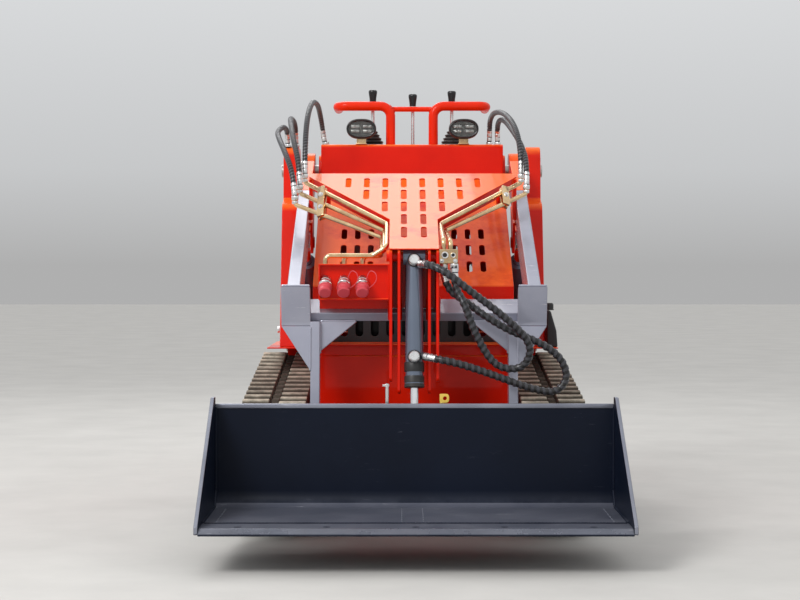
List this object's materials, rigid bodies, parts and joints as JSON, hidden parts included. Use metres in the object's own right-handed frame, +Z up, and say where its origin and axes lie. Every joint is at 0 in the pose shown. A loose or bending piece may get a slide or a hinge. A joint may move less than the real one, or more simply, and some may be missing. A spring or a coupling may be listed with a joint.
{
  "type": "stand-on tracked skid steer loader",
  "caption": "Small stand-on tracked loader with a lift arm, tilting bucket, hydraulic cylinders and a folding operator's platform.",
  "frame": {"origin": "centre of the footprint on the ground", "axes": "+Z up, -Y towards the bucket, +X to the right seen from in front of the bucket"},
  "size_m": [1.06, 2.1, 1.301],
  "materials": {
    "red_paint": "glossy red paint with road dust",
    "grey_paint": "dark slate grey gloss paint",
    "black_paint": "satin black paint",
    "bucket_paint": "dark paint, scuffed on the floor and the edge",
    "track_rubber": "black rubber with dry beige dust",
    "hose_rubber": "black rubber with a spiral guard",
    "chrome": "hard chrome",
    "bare_steel": "bright turned steel",
    "plated_steel": "yellow zinc plating",
    "black_plastic": "moulded black",
    "knob_plastic": "black knobs on bright shafts",
    "handle_paint": "glossy red paint, rubbed at the grips",
    "coupler_steel": "zinc plated couplers with red caps"
  },
  "bodies": {
    "chassis": {"chassis_frame": "red_paint", "body_sides": "red_paint", "bonnet": "red_paint", "nose_grille": "black_paint", "rear_panel": "red_paint", "console": "red_paint", "tower_right": "red_paint", "tower_left": "red_paint", "fenders": "red_paint", "fuel_tank": "black_plastic", "engine_block": "black_paint", "handlebars": "handle_paint", "control_levers": "knob_plastic", "lever_boots": "black_plastic", "work_lights": "black_plastic", "track_right": "track_rubber", "track_left": "track_rubber", "track_wheels": "black_paint", "drives": "black_paint", "track_frames": "grey_paint", "tow_plate": "red_paint", "platform_hinges": "red_paint", "pivot_pins": "bare_steel"},
    "loader_arm": {"arm_right": "grey_paint", "arm_left": "grey_paint", "rear_link_right": "red_paint", "rear_link_left": "red_paint", "lift_lugs": "red_paint", "cross_beam": "grey_paint", "leg_right": "grey_paint", "leg_left": "grey_paint", "bucket_pins": "bare_steel", "tilt_bracket": "red_paint", "hose_block": "plated_steel", "arm_panel": "red_paint", "panel_cheeks": "red_paint", "coupler_box": "red_paint", "quick_couplers": "coupler_steel", "pipes_left": "plated_steel", "pipes_right": "plated_steel", "arm_hose_left_1": "hose_rubber", "arm_hose_left_2": "hose_rubber", "arm_hose_left_3": "hose_rubber", "arm_hose_right_1": "hose_rubber", "arm_hose_right_2": "hose_rubber"},
    "bucket": {"bucket_shell": "bucket_paint", "bucket_sides": "bucket_paint", "cutting_edge": "bucket_paint", "mount_plate": "bucket_paint", "lock_handles": "plated_steel"},
    "tilt_barrel": {"tilt_barrel": "grey_paint", "tilt_hose_upper": "hose_rubber", "tilt_hose_lower": "hose_rubber"},
    "tilt_rod": {"tilt_rod": "chrome"},
    "lift_barrel_right": {"lift_barrel_right": "grey_paint"},
    "lift_rod_right": {"lift_rod_right": "chrome"},
    "lift_barrel_left": {"lift_barrel_left": "grey_paint"},
    "lift_rod_left": {"lift_rod_left": "chrome"},
    "platform": {"platform": "black_paint"}
  },
  "joints": [
    {"name": "arm_lift", "type": "hinge", "parent": "chassis", "child": "loader_arm", "pos_m": [0, 0.5, 1.038], "axis": [-1, 0, 0], "range_deg": [-3.4, 88], "deforming": ["arm_hose_left_1", "arm_hose_left_2", "arm_hose_left_3", "arm_hose_right_1", "arm_hose_right_2"]},
    {"name": "bucket_tilt", "type": "hinge", "parent": "loader_arm", "child": "bucket", "pos_m": [0, -0.455, 0.205], "axis": [-1, 0, 0], "range_deg": [-70, 15]},
    {"name": "tilt_barrel_swing", "type": "hinge", "parent": "loader_arm", "child": "tilt_barrel", "pos_m": [0, -0.455, 0.763], "axis": [-1, 0, 0], "range_deg": [-1.3, 5.7], "deforming": ["tilt_hose_upper", "tilt_hose_lower"]},
    {"name": "tilt_rod_slide", "type": "slide", "parent": "tilt_barrel", "child": "tilt_rod", "axis": [0, -0.1652, -0.9863], "range_m": [-0.0375, 0.1732]},
    {"name": "lift_barrel_right_swing", "type": "hinge", "parent": "chassis", "child": "lift_barrel_right", "pos_m": [0.3245, 0.69, 0.47], "axis": [-1, 0, 0], "range_deg": [-1.25, 31.2]},
    {"name": "lift_rod_right_slide", "type": "slide", "parent": "lift_barrel_right", "child": "lift_rod_right", "axis": [0, -0.8392, 0.5439], "range_m": [-0.0146, 0.37]},
    {"name": "lift_barrel_left_swing", "type": "hinge", "parent": "chassis", "child": "lift_barrel_left", "pos_m": [-0.3245, 0.69, 0.47], "axis": [-1, 0, 0], "range_deg": [-1.25, 31.2]},
    {"name": "lift_rod_left_slide", "type": "slide", "parent": "lift_barrel_left", "child": "lift_rod_left", "axis": [0, -0.8392, 0.5439], "range_m": [-0.0146, 0.37]},
    {"name": "platform_fold", "type": "hinge", "parent": "chassis", "child": "platform", "pos_m": [0, 0.73, 0.175], "axis": [1, 0, 0], "range_deg": [0, 85]}
  ],
  "couplings": [
    {"joint": "tilt_barrel_swing", "follows": "bucket_tilt", "ratio": -0.08},
    {"joint": "tilt_rod_slide", "follows": "bucket_tilt", "m_per_rad": -0.14136},
    {"joint": "lift_barrel_right_swing", "follows": "arm_lift", "ratio": 0.3538},
    {"joint": "lift_rod_right_slide", "follows": "arm_lift", "m_per_rad": 0.24065},
    {"joint": "lift_barrel_left_swing", "follows": "arm_lift", "ratio": 0.3538},
    {"joint": "lift_rod_left_slide", "follows": "arm_lift", "m_per_rad": 0.24065}
  ]
}
